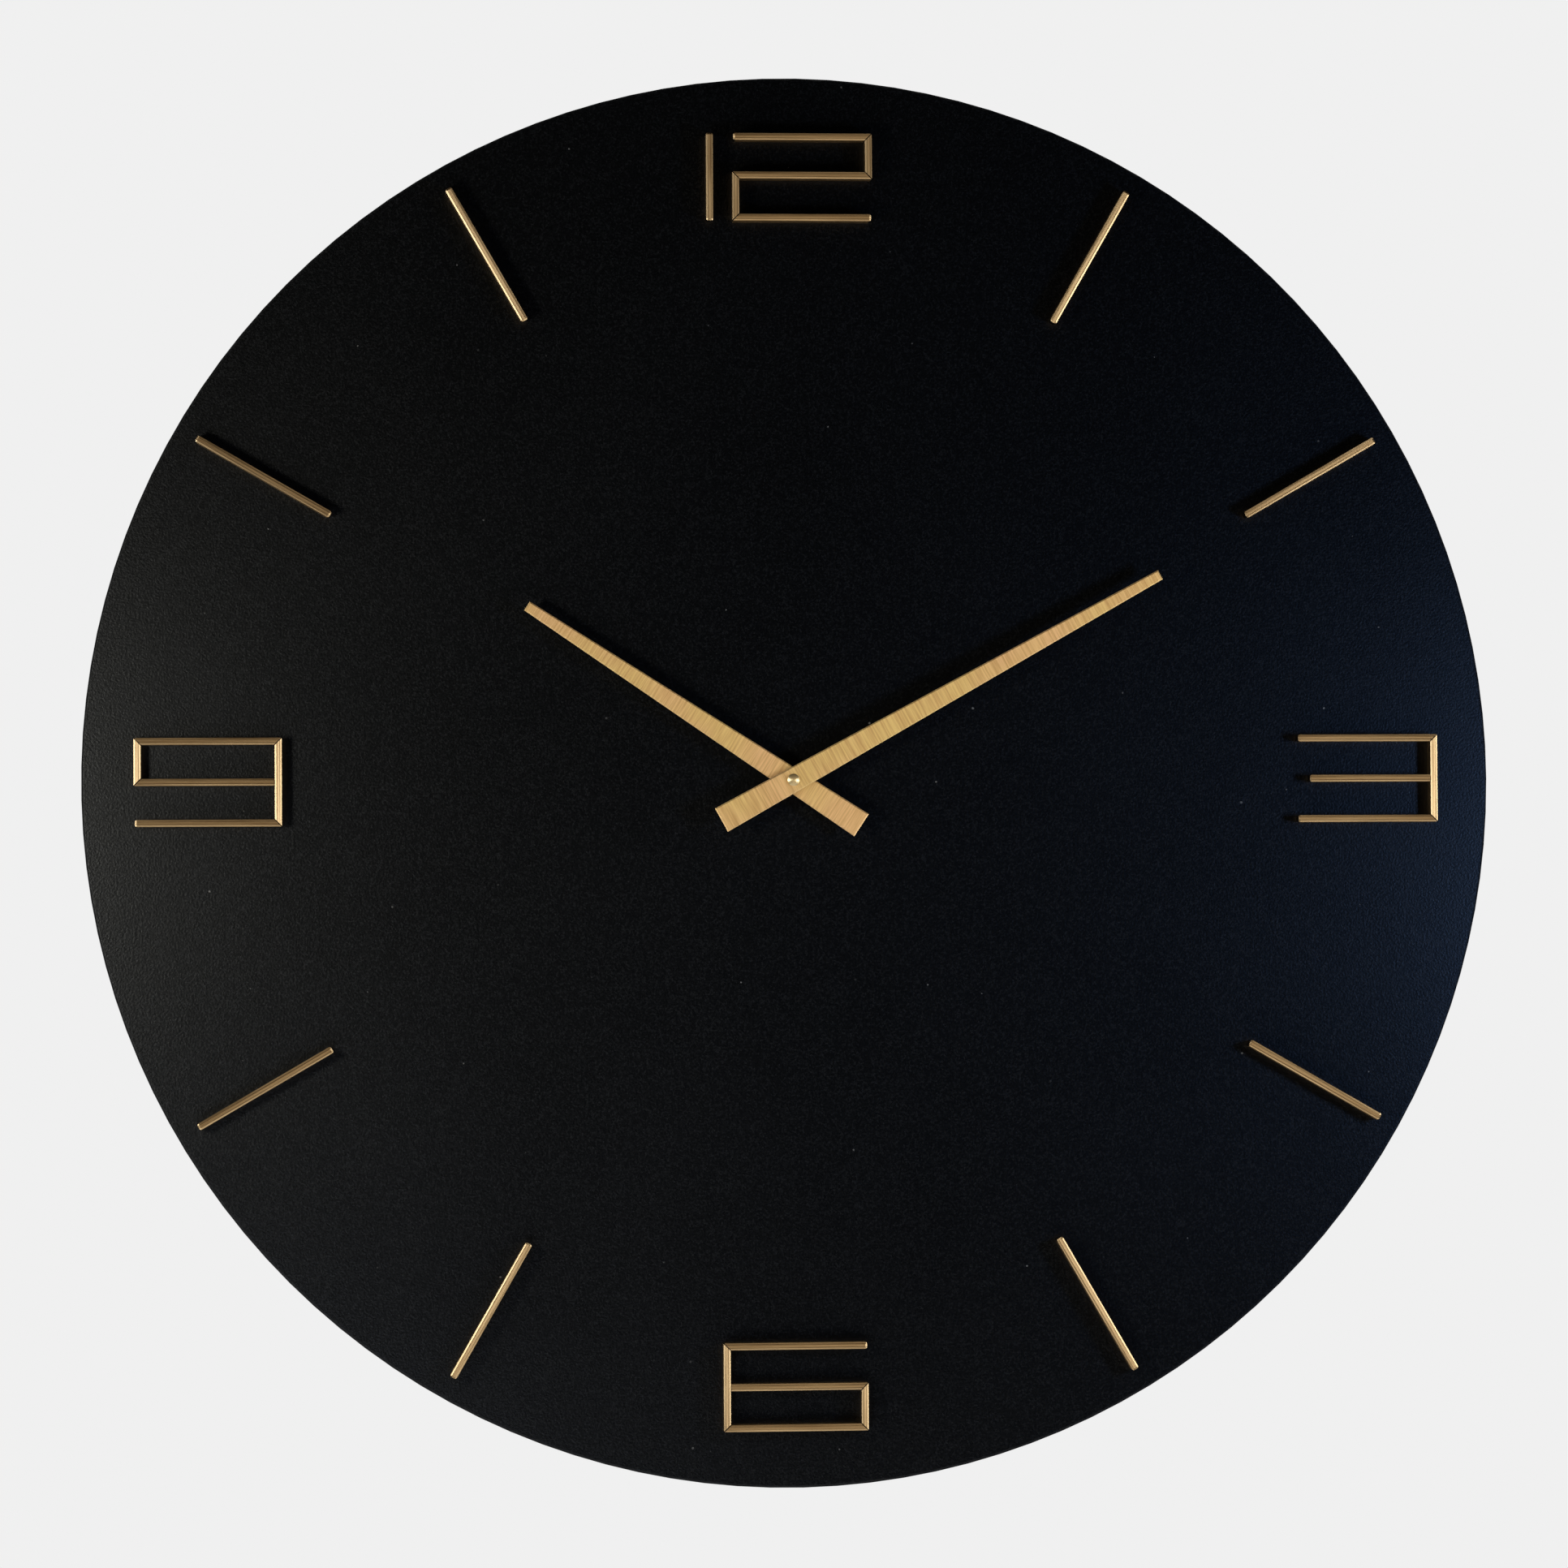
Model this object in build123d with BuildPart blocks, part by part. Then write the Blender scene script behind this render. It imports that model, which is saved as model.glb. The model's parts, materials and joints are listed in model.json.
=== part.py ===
from build123d import *
from math import atan2, cos, degrees, radians, sin
import os

# A round wall clock, 700 mm across: a lacquered panel with brass strip numerals and
# markers, two tapered hands, a spacer ring behind it and a battery movement.
# Frame: +Z up, the dial faces -Y, the origin is on the hand axis at the wall plane.
# A place in front of the wall is a distance along -Y, a place inside the movement is a
# depth measured backwards from the inner face of its front wall. All sizes are in mm.

# Clearances
running_gap = 0.05
seat_gap = 0.02
assembly_gap = 0.1
spin_gap = 0.3

# Dial panel and the spacer ring behind it
dial_diameter = 700.0
dial_thickness = 9.0
dial_edge_round = 1.2
ring_setback = 100.0
ring_width = 45.0
ring_depth = 22.0
ring_edge_bevel = 1.0

# Countersunk screws of the ring
ring_screw_count = 6
ring_screw_radius = 2.0
ring_screw_grip = 6.0
ring_screw_head_radius = 4.0
countersink_angle = 90.0
recess_width = 0.9
recess_depth = 1.0

# Keyhole hanger, let into the back of the ring
hanger_width = 46.0
hanger_height = 30.0
hanger_corner = 3.0
hanger_thickness = 1.5
keyhole_entry_radius = 5.0
keyhole_slot_radius = 2.5
keyhole_slot_rise = 9.0
hanger_pocket_depth = 8.0
hanger_pocket_margin = 2.0
hanger_screw_spacing = 34.0
hanger_screw_radius = 1.5
hanger_screw_length = 12.0
hanger_screw_head_radius = 2.8

# Brass strips of the numerals and markers
strip_width = 3.4
strip_height = 8.0
strip_bevel_width = 0.8
strip_bevel_drop = 0.35
strip_end_round = 1.0
mitre_gap = 0.32
marker_rim_gap = 11.8
marker_length = 75.4
dial_hour_count = 12
numeral_count = 4

# Numerals: outer sizes, and the distance from the rim to their middles
numeral_height = 43.6
two_width = 69.6
three_width = 70.9
six_width = 71.6
nine_width = 72.3
one_two_gap = 9.6
twelve_six_inset = 50.5
three_nine_inset = 62.1
two_middle_rise = 0.9
three_middle_inset = 6.5
open_end_setback = 0.6

# Hands
minute_hand_reach = 210.0
minute_hand_tail = 40.8
hour_hand_reach = 157.0
hour_hand_tail = 40.8
hand_tail_width = 13.2
hand_tip_width = 5.1
hand_thickness = 1.2
hand_bevel_width = 0.6
hand_bevel_drop = 0.3
minute_hand_angle = 61.1
hour_hand_angle = 303.4
hour_hand_height = 7.4
hand_spacing = 3.2
hour_collet_radius = 4.2
hour_collet_length = 1.4
hand_nut_radius = 3.0
hand_nut_skirt = 1.0
hand_nut_crown = 1.0

# Movement case
case_side = 56.0
case_depth = 16.0
case_corner = 4.0
case_wall = 1.8
case_front_wall = 1.4
case_edge_bevel = 0.6
cover_thickness = 1.4
cover_rabbet = 0.9
partition_thickness = 1.0
gasket_thickness = 1.0
gasket_outer_radius = 16.0
pivot_radius = 0.5
pivot_depth = 0.9
boss_radius = 1.4
boss_height = 1.2
post_radius = 1.2

# Threaded bush, its washer and its nut
bush_radius = 4.0
bush_spigot_radius = 5.0
bush_flange_radius = 6.5
bush_flange_thickness = 0.8
bush_spare_thread = 1.0
washer_radius = 6.6
washer_thickness = 0.6
lock_nut_across_flats = 11.0
lock_nut_thickness = 2.5

# Coaxial hand arbors
hour_tube_radius = 2.5
hour_tube_bore = 1.8
hour_tube_proud = 0.4
minute_shaft_radius = 1.75
minute_seat_radius = 1.5
minute_seat_flats = 2.1
minute_thread_radius = 1.25
minute_thread_length = 1.3

# Gear train: tooth counts and modules, each pair named by its driver
cannon_teeth = 12
minute_wheel_teeth = 36
cannon_module = 0.5
minute_pinion_teeth = 10
hour_wheel_teeth = 40
setting_teeth = 14
setting_direction = 45.0
second_pinion_teeth = 8
third_wheel_teeth = 60
third_pinion_teeth = 8
centre_wheel_teeth = 64
third_distance = 11.2
fifth_pinion_teeth = 10
second_wheel_teeth = 60
fifth_distance = 11.2
rotor_teeth = 12
fifth_wheel_teeth = 60
rotor_module = 0.25
rotor_direction = 115.0

# Gear train: depths of the layers behind the front wall
hour_wheel_depth = (0.4, 1.6)
minute_pinion_front = 0.3
minute_wheel_depth = (2.2, 3.2)
cannon_depth = (2.0, 3.6)
centre_wheel_depth = (4.2, 5.0)
third_pinion_front = 4.0
minute_shaft_depth = 5.4
third_wheel_depth = (6.4, 7.2)
second_pinion_front = 6.2
second_wheel_depth = (8.4, 9.2)
fifth_pinion_front = 8.2
fifth_wheel_depth = (10.2, 11.0)
rotor_pinion_depth = (10.0, 11.4)
magnet_depth = (6.0, 9.4)

# Stepping motor
magnet_radius = 3.0
stator_depth = (7.4, 8.2)
stator_air_gap = 0.5
stator_rim = 1.1
stator_limb = 1.8
coil_line = -22.2
coil_bottom = -3.0
coil_length = 22.0
core_overhang = 3.0
bobbin_wall = 0.5
bobbin_flange = 0.8
coil_radius = 2.4

# Circuit, battery and setting knob
board_size = (22.0, 12.5)
board_middle = (14.0, 19.0)
board_depth = (11.1, 11.9)
chip_radius = 2.2
chip_height = 0.8
crystal_radius = 1.0
crystal_length = 6.0
battery_radius = 7.1
battery_length = 50.5
battery_gap = 0.15
battery_edge_bevel = 0.6
nub_radius = 2.75
nub_length = 1.0
contact_thickness = 0.4
contact_width = 2.0
contact_margin = 1.5
lead_column = 16.0
knob_radius = 5.0
knob_thickness = 2.6
knob_flutes = 16
knob_flute_radius = 0.5
knob_shaft_radius = 1.5

# Tooth form, in modules and in shares of the pitch
addendum = 0.8
dedendum = 1.15
tip_share = 0.16
pitch_share = 0.38
root_share = 0.54

# Places along the hand axis, as distances in front of the wall
dial_back = ring_depth
dial_front = dial_back + dial_thickness
case_front = dial_back - gasket_thickness
case_back = case_front - case_depth
room_front = case_front - case_front_wall
cover_inner = room_front - case_back - cover_thickness
washer_front = dial_front + washer_thickness
lock_nut_front = washer_front + lock_nut_thickness
bush_front = lock_nut_front + bush_spare_thread
hour_hand_back = dial_front + hour_hand_height
minute_hand_back = hour_hand_back + hand_spacing
minute_hand_front = minute_hand_back + hand_thickness
hour_tube_front = hour_hand_back + hand_thickness + hour_tube_proud

# Radii and places worked out from the sizes above
dial_radius = dial_diameter / 2
marker_outer_radius = dial_radius - marker_rim_gap
twelve_six_radius = dial_radius - twelve_six_inset
three_nine_radius = dial_radius - three_nine_inset
hours_per_numeral = dial_hour_count // numeral_count
ring_outer_radius = dial_radius - ring_setback
ring_inner_radius = ring_outer_radius - ring_width
ring_middle_radius = (ring_outer_radius + ring_inner_radius) / 2
keyhole_entry = ring_middle_radius - keyhole_slot_rise / 2
room_half = case_side / 2 - case_wall
battery_line = battery_radius + battery_gap - room_half
bay_top = battery_line + battery_radius + battery_gap
partition_top = bay_top + partition_thickness
minute_wheel_distance = cannon_module * (cannon_teeth + minute_wheel_teeth) / 2
hour_module = 2 * minute_wheel_distance / (minute_pinion_teeth + hour_wheel_teeth)
setting_distance = cannon_module * (setting_teeth + minute_wheel_teeth) / 2
second_module = 2 * third_distance / (second_pinion_teeth + third_wheel_teeth)
third_module = 2 * third_distance / (third_pinion_teeth + centre_wheel_teeth)
fifth_module = 2 * fifth_distance / (fifth_pinion_teeth + second_wheel_teeth)
rotor_distance = rotor_module * (rotor_teeth + fifth_wheel_teeth) / 2

# Axes of the train, as places on the dial plane
hand_axis = (0.0, 0.0)
minute_wheel_axis = (minute_wheel_distance, 0.0)
third_axis = (0.0, third_distance)
fifth_axis = (-fifth_distance, 0.0)
rotor_axis = (
    fifth_axis[0] + rotor_distance * cos(radians(rotor_direction)),
    fifth_axis[1] + rotor_distance * sin(radians(rotor_direction)),
)
setting_axis = (
    minute_wheel_axis[0] + setting_distance * cos(radians(setting_direction)),
    minute_wheel_axis[1] + setting_distance * sin(radians(setting_direction)),
)
core_top = (coil_line, coil_bottom + coil_length + core_overhang)
core_bottom = (coil_line, coil_bottom - core_overhang)

# The wall plane seen from behind: its normal points into the wall
wall_side = Plane(origin=(0, 0, 0), x_dir=(-1, 0, 0), z_dir=(0, 1, 0))

os.makedirs("parts", exist_ok=True)


def save(piece, name):
    """Labels a finished piece and writes it under its own name."""
    piece.part.label = name
    export_step(piece.part, f"parts/{name}.step")


def in_front(distance):
    """The plane facing the viewer at a distance in front of the wall."""
    return Plane.XZ.offset(distance)


def at_depth(depth):
    """The plane facing the viewer at a depth behind the movement's front wall."""
    return in_front(room_front - depth)


def add_disc(centre, radius, depths, mode=Mode.ADD):
    """Adds or cuts a round step on an arbor between two depths."""
    with BuildSketch(at_depth(depths[1])) as step:
        with Locations(centre):
            Circle(radius)
    extrude(step.sketch, amount=depths[1] - depths[0], mode=mode)


def add_gear(centre, teeth, module, phase, depths):
    """Adds a toothed disc with straight flanks, one tooth's middle at the phase angle."""
    pitch = 360 / teeth
    pitch_radius = module * teeth / 2
    corners = (
        (pitch_radius - dedendum * module, -root_share / 2),
        (pitch_radius, -pitch_share / 2),
        (pitch_radius + addendum * module, -tip_share / 2),
        (pitch_radius + addendum * module, tip_share / 2),
        (pitch_radius, pitch_share / 2),
        (pitch_radius - dedendum * module, root_share / 2),
    )
    points = []
    for tooth in range(teeth):
        for radius, share in corners:
            angle = radians(phase + pitch * (tooth + share))
            points.append((centre[0] + radius * cos(angle), centre[1] + radius * sin(angle)))
    with BuildSketch(at_depth(depths[1])) as profile:
        with BuildLine():
            Polyline(*points, close=True)
        make_face()
    extrude(profile.sketch, amount=depths[1] - depths[0])


def mesh_phase(driver_axis, driver_teeth, driver_phase, driven_axis, driven_teeth):
    """The phase at which a driven gear's space meets the driver's tooth."""
    direction = degrees(atan2(driven_axis[1] - driver_axis[1], driven_axis[0] - driver_axis[0]))
    share = (direction - driver_phase) / (360 / driver_teeth) % 1
    return direction + 180 + (share + 0.5) * 360 / driven_teeth


def add_arbor(centre, front=-pivot_depth + assembly_gap):
    """Adds a thin arbor that runs from the front wall into the cover's boss."""
    add_disc(centre, pivot_radius, (front, cover_inner - assembly_gap))


def clear_bore(centre, radius, depths):
    """Cuts a running bore on an arbor between two depths."""
    add_disc(centre, radius, depths, mode=Mode.SUBTRACT)


def add_countersunk_screw(radius, head_radius, length):
    """Adds a countersunk screw with a cross recess, its head flush with the local plane."""
    top = (Align.CENTER, Align.CENTER, Align.MAX)
    Cylinder(radius, length, align=top)
    Cone(radius, head_radius, head_radius - radius, align=top)
    Box(head_radius, recess_width, recess_depth, align=top, mode=Mode.SUBTRACT)
    Box(recess_width, head_radius, recess_depth, align=top, mode=Mode.SUBTRACT)


def keyhole_outline(entry_radius, slot_radius):
    """Draws a round entry with a slot that rises from its middle."""
    with Locations((0, keyhole_entry)):
        Circle(entry_radius)
    with Locations((0, keyhole_entry + keyhole_slot_rise / 2)):
        SlotCenterToCenter(keyhole_slot_rise, 2 * slot_radius, rotation=90)


# Dial panel: a lacquered disc with the bush hole and pilot holes for the ring's screws
with BuildPart() as dial_panel:
    with BuildSketch(in_front(dial_back)):
        Circle(dial_radius)
        Circle(bush_radius + assembly_gap, mode=Mode.SUBTRACT)
    extrude(amount=dial_thickness)
    with BuildSketch(in_front(dial_back)) as pilot_holes:
        with PolarLocations(ring_middle_radius, ring_screw_count):
            Circle(ring_screw_radius + seat_gap)
    extrude(pilot_holes.sketch, amount=ring_screw_grip, mode=Mode.SUBTRACT)
    front_rim = dial_panel.faces().sort_by(Axis.Y)[0].edges().sort_by(SortBy.LENGTH)[-1]
    fillet(front_rim, dial_edge_round)
save(dial_panel, "dial_panel")

# Spacer ring: holds the panel off the wall, with seats for the screws and the hanger
with BuildPart(wall_side) as spacer_ring:
    with BuildSketch(wall_side):
        Circle(ring_outer_radius)
        Circle(ring_inner_radius, mode=Mode.SUBTRACT)
    extrude(amount=-ring_depth)
    chamfer(spacer_ring.faces().sort_by(Axis.Y)[-1].edges(), ring_edge_bevel)
    with PolarLocations(ring_middle_radius, ring_screw_count):
        CounterSinkHole(
            ring_screw_radius + seat_gap,
            ring_screw_head_radius + seat_gap,
            counter_sink_angle=countersink_angle,
        )
    with BuildSketch(wall_side) as hanger_seat:
        with Locations((0, ring_middle_radius)):
            RectangleRounded(
                hanger_width + 2 * assembly_gap,
                hanger_height + 2 * assembly_gap,
                hanger_corner + assembly_gap,
            )
    extrude(hanger_seat.sketch, amount=-hanger_thickness, mode=Mode.SUBTRACT)
    with BuildSketch(wall_side) as head_room:
        head_room_radius = keyhole_entry_radius + hanger_pocket_margin
        keyhole_outline(head_room_radius, head_room_radius)
    extrude(
        head_room.sketch, amount=-hanger_thickness - hanger_pocket_depth, mode=Mode.SUBTRACT
    )
    with Locations((0, ring_middle_radius)):
        with GridLocations(hanger_screw_spacing, 0, 2, 1):
            Hole(hanger_screw_radius + seat_gap, hanger_screw_length + assembly_gap)
save(spacer_ring, "spacer_ring")

# Ring screws: six countersunk screws through the ring into the panel
with BuildPart(wall_side) as ring_screws:
    with PolarLocations(ring_middle_radius, ring_screw_count):
        add_countersunk_screw(
            ring_screw_radius, ring_screw_head_radius, ring_depth + ring_screw_grip - assembly_gap
        )
save(ring_screws, "ring_screws")

# Keyhole hanger: a steel plate whose slot drops over the head of a wall screw
with BuildPart(wall_side) as hanger_plate:
    with BuildSketch(wall_side):
        with Locations((0, ring_middle_radius)):
            RectangleRounded(hanger_width, hanger_height, hanger_corner)
    extrude(amount=-hanger_thickness)
    with BuildSketch(wall_side) as keyhole:
        keyhole_outline(keyhole_entry_radius, keyhole_slot_radius)
    extrude(keyhole.sketch, amount=-hanger_thickness, mode=Mode.SUBTRACT)
    with Locations((0, ring_middle_radius)):
        with GridLocations(hanger_screw_spacing, 0, 2, 1):
            CounterSinkHole(
                hanger_screw_radius + seat_gap,
                hanger_screw_head_radius + seat_gap,
                counter_sink_angle=countersink_angle,
            )
save(hanger_plate, "hanger_plate")

# Hanger screws
with BuildPart(wall_side) as hanger_screws:
    with Locations((0, ring_middle_radius)):
        with GridLocations(hanger_screw_spacing, 0, 2, 1):
            add_countersunk_screw(
                hanger_screw_radius, hanger_screw_head_radius, hanger_screw_length
            )
save(hanger_screws, "hanger_screws")


def make_strip(name, start, end, start_skew=0, end_skew=0, free_ends=()):
    """A brass strip standing on the dial between two places on its middle line.

    A skewed end is cut at 45 degrees, with its left side longer for +1 and shorter for -1.
    A free end has rounded corners, and the bevel of the long edges runs round it."""
    along = Vector(end[0] - start[0], 0, end[1] - start[1])
    half = strip_width / 2
    first = mitre_gap * abs(start_skew)
    last = along.length - mitre_gap * abs(end_skew)
    seat = Plane(origin=(start[0], -dial_front, start[1]), x_dir=along, z_dir=(0, -1, 0))
    with BuildPart() as strip:
        with BuildSketch(seat) as outline:
            with BuildLine():
                Polyline(
                    (first - start_skew * half, half),
                    (first + start_skew * half, -half),
                    (last - end_skew * half, -half),
                    (last + end_skew * half, half),
                    close=True,
                )
            make_face()
        extrude(outline.sketch, amount=strip_height)
        lengthwise = Axis(seat.origin, seat.x_dir)
        corners = strip.edges().filter_by(Axis.Y).group_by(lengthwise)
        for free_end in free_ends:
            fillet(corners[free_end], strip_end_round)
        top = strip.faces().sort_by(Axis.Y)[0]
        sides = top.edges().filter_by(lengthwise)
        ends = (top.edges() - sides).filter_by(lambda edge: edge.length < strip_width - strip_end_round)
        chamfer(sides + ends, strip_bevel_width, strip_bevel_drop, reference=top)
    save(strip, name)


def make_numeral(name, middle, corners, pieces, first_reach, last_reach):
    """Strips along a path of corners, mitred where it turns, from one open end to the other."""
    places = [Vector(middle[0] + x, middle[1] + z) for x, z in corners]
    turns = [0]
    for before, here, after in zip(places, places[1:], places[2:]):
        turns.append(1 if (here - before).cross(after - here).Z < 0 else -1)
    turns.append(0)
    places[0] += (places[0] - places[1]).normalized() * first_reach
    places[-1] += (places[-1] - places[-2]).normalized() * last_reach
    last = len(pieces) - 1
    for index, piece in enumerate(pieces):
        free_ends = [0] if index == 0 and first_reach > 0 else []
        if index == last and last_reach > 0:
            free_ends.append(-1)
        start, end = places[index], places[index + 1]
        make_strip(
            f"{name}_{piece}",
            (start.X, start.Y),
            (end.X, end.Y),
            turns[index],
            turns[index + 1],
            free_ends,
        )


# Hour markers: eight plain strips pointing at the hand axis
for hour in range(1, dial_hour_count):
    if hour % hours_per_numeral == 0:
        continue
    bearing = radians(90 - 360 / dial_hour_count * hour)
    inner_radius = marker_outer_radius - marker_length
    make_strip(
        f"marker_{hour}",
        (inner_radius * cos(bearing), inner_radius * sin(bearing)),
        (marker_outer_radius * cos(bearing), marker_outer_radius * sin(bearing)),
        free_ends=(0, -1),
    )

# Numerals: each built from cut strips with mitred corners and plain butted middle bars
free_reach = strip_width / 2 - open_end_setback
butt_reach = -strip_width / 2 - mitre_gap
high = (numeral_height - strip_width) / 2
twelve_width = strip_width + one_two_gap + two_width
one_place = (strip_width - twelve_width) / 2
make_strip(
    "twelve_one",
    (one_place, twelve_six_radius - numeral_height / 2),
    (one_place, twelve_six_radius + numeral_height / 2),
    free_ends=(0, -1),
)

side = (two_width - strip_width) / 2
make_numeral(
    "twelve_two",
    ((twelve_width - two_width) / 2, twelve_six_radius),
    (
        (-side, high),
        (side, high),
        (side, two_middle_rise),
        (-side, two_middle_rise),
        (-side, -high),
        (side, -high),
    ),
    ("top", "upper_right", "middle", "lower_left", "bottom"),
    free_reach,
    free_reach,
)

side = (three_width - strip_width) / 2
make_numeral(
    "three",
    (three_nine_radius, 0),
    ((-side, high), (side, high), (side, -high), (-side, -high)),
    ("top", "right", "bottom"),
    free_reach,
    free_reach,
)
make_strip(
    "three_middle",
    (three_nine_radius - three_width / 2 + three_middle_inset, 0),
    (three_nine_radius + side + butt_reach, 0),
    free_ends=(0,),
)

side = (six_width - strip_width) / 2
make_numeral(
    "six",
    (0, -twelve_six_radius),
    ((side, high), (-side, high), (-side, -high), (side, -high), (side, 0), (-side, 0)),
    ("top", "left", "bottom", "lower_right", "middle"),
    free_reach,
    butt_reach,
)

side = (nine_width - strip_width) / 2
make_numeral(
    "nine",
    (-three_nine_radius, 0),
    ((-side, -high), (side, -high), (side, high), (-side, high), (-side, 0), (side, 0)),
    ("bottom", "right", "top", "upper_left", "middle"),
    free_reach,
    butt_reach,
)

# Movement case: a moulded tray with a gear room above an open battery bay
with BuildPart() as movement_front_case:
    with BuildSketch(in_front(case_back)):
        RectangleRounded(case_side, case_side, case_corner)
    extrude(amount=case_depth)
    chamfer(movement_front_case.faces().sort_by(Axis.Y)[0].edges(), case_edge_bevel)
    with BuildSketch(in_front(case_back)) as gear_room:
        with Locations((0, (room_half + partition_top) / 2)):
            Rectangle(2 * room_half, room_half - partition_top)
    extrude(gear_room.sketch, amount=case_depth - case_front_wall, mode=Mode.SUBTRACT)
    with BuildSketch(in_front(case_back)) as battery_bay:
        with Locations((0, (bay_top - room_half) / 2)):
            Rectangle(2 * room_half, bay_top + room_half)
    extrude(battery_bay.sketch, amount=case_depth - case_front_wall, mode=Mode.SUBTRACT)
    with BuildSketch(in_front(case_back)) as cover_seat:
        with Locations((0, (room_half + partition_top) / 2)):
            Rectangle(2 * (room_half + cover_rabbet), room_half - partition_top + cover_rabbet)
    extrude(cover_seat.sketch, amount=cover_thickness, mode=Mode.SUBTRACT)
    with BuildSketch(in_front(case_back)) as lead_notches:
        with Locations((0, partition_top - partition_thickness / 2)):
            with GridLocations(2 * room_half - contact_margin, 0, 2, 1):
                Rectangle(contact_margin, partition_thickness)
    extrude(lead_notches.sketch, amount=case_depth - case_front_wall, mode=Mode.SUBTRACT)
    clear_bore(hand_axis, bush_spigot_radius + seat_gap, (-case_front_wall, 0))
    for axis in (minute_wheel_axis, third_axis, fifth_axis, rotor_axis, setting_axis):
        clear_bore(axis, pivot_radius + running_gap, (-pivot_depth, 0))
    for core_end in (core_top, core_bottom):
        add_disc(core_end, post_radius, (0, stator_depth[0]))
save(movement_front_case, "movement_front_case")

# Movement cover: closes the gear room from behind and carries the rear pivots
with BuildPart() as movement_back_cover:
    with BuildSketch(in_front(case_back)):
        with Locations((0, (room_half + partition_top) / 2)):
            Rectangle(
                2 * (room_half + cover_rabbet - assembly_gap),
                room_half - partition_top + cover_rabbet - 2 * assembly_gap,
            )
    extrude(amount=cover_thickness)
    for axis in (hand_axis, minute_wheel_axis, third_axis, fifth_axis, rotor_axis):
        add_disc(axis, boss_radius, (cover_inner - boss_height, cover_inner))
        clear_bore(axis, pivot_radius + running_gap, (cover_inner - boss_height, cover_inner))
    for corner in (-1, 1):
        post = (board_middle[0] + corner * board_size[0] / 4, board_middle[1])
        add_disc(post, post_radius, (board_depth[1], cover_inner))
    clear_bore(
        setting_axis, knob_shaft_radius + running_gap, (cover_inner, cover_inner + cover_thickness)
    )
save(movement_back_cover, "movement_back_cover")

# Threaded bush: pressed into the case, passes through the panel and carries the nut
with BuildPart() as shaft_bush:
    with BuildSketch(in_front(room_front)):
        Circle(bush_spigot_radius)
    extrude(amount=case_front_wall)
    with BuildSketch(in_front(case_front)) as flange:
        Circle(bush_flange_radius)
    extrude(flange.sketch, amount=bush_flange_thickness)
    with BuildSketch(in_front(case_front)) as thread:
        Circle(bush_radius)
    extrude(thread.sketch, amount=bush_front - case_front)
    with BuildSketch(in_front(room_front)) as bore:
        Circle(hour_tube_radius + running_gap)
    extrude(bore.sketch, amount=bush_front - room_front, mode=Mode.SUBTRACT)
save(shaft_bush, "shaft_bush")

# Rubber gasket between the movement and the panel
with BuildPart() as rubber_gasket:
    with BuildSketch(in_front(case_front)):
        Circle(gasket_outer_radius)
        Circle(bush_flange_radius + assembly_gap, mode=Mode.SUBTRACT)
    extrude(amount=gasket_thickness)
save(rubber_gasket, "rubber_gasket")

# Front washer and hexagon nut that clamp the movement to the panel
with BuildPart() as front_washer:
    with BuildSketch(in_front(dial_front)):
        Circle(washer_radius)
        Circle(bush_radius + assembly_gap, mode=Mode.SUBTRACT)
    extrude(amount=washer_thickness)
save(front_washer, "front_washer")

with BuildPart() as lock_nut:
    with BuildSketch(in_front(washer_front)):
        RegularPolygon(lock_nut_across_flats / 2, 6, major_radius=False)
        Circle(bush_radius + seat_gap, mode=Mode.SUBTRACT)
    extrude(amount=lock_nut_thickness)
save(lock_nut, "lock_nut")

# Hour wheel: a toothed disc on the tube that carries the hour hand
with BuildPart() as hour_wheel:
    hour_phase = mesh_phase(
        minute_wheel_axis, minute_pinion_teeth, 0, hand_axis, hour_wheel_teeth
    )
    add_gear(hand_axis, hour_wheel_teeth, hour_module, hour_phase, hour_wheel_depth)
    tube_depths = (room_front - hour_tube_front, hour_wheel_depth[1])
    add_disc(hand_axis, hour_tube_radius, tube_depths)
    clear_bore(hand_axis, hour_tube_bore, tube_depths)
save(hour_wheel, "hour_wheel")

# Minute shaft: cannon pinion, slip seat, hand seat with two flats and a threaded end
with BuildPart() as minute_shaft:
    add_disc(
        hand_axis, minute_shaft_radius, (room_front - minute_hand_back, minute_shaft_depth)
    )
    add_gear(hand_axis, cannon_teeth, cannon_module, 0, cannon_depth)
    with BuildSketch(in_front(minute_hand_back)) as hand_seat:
        Circle(minute_seat_radius)
        Rectangle(2 * minute_seat_radius, minute_seat_flats, mode=Mode.INTERSECT)
    extrude(hand_seat.sketch, amount=hand_thickness)
    with BuildSketch(in_front(minute_hand_front)) as thread:
        Circle(minute_thread_radius)
    extrude(thread.sketch, amount=minute_thread_length)
    clear_bore(
        hand_axis,
        pivot_radius + running_gap,
        (minute_shaft_depth - pivot_depth, minute_shaft_depth),
    )
save(minute_shaft, "minute_shaft")

# Minute wheel: drives the hour wheel with its pinion, and is turned to set the hands
minute_wheel_phase = mesh_phase(
    hand_axis, cannon_teeth, 0, minute_wheel_axis, minute_wheel_teeth
)
with BuildPart() as minute_wheel:
    add_arbor(minute_wheel_axis)
    add_gear(
        minute_wheel_axis, minute_wheel_teeth, cannon_module, minute_wheel_phase, minute_wheel_depth
    )
    add_gear(
        minute_wheel_axis,
        minute_pinion_teeth,
        hour_module,
        0,
        (minute_pinion_front, minute_wheel_depth[0]),
    )
save(minute_wheel, "minute_wheel")

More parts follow.
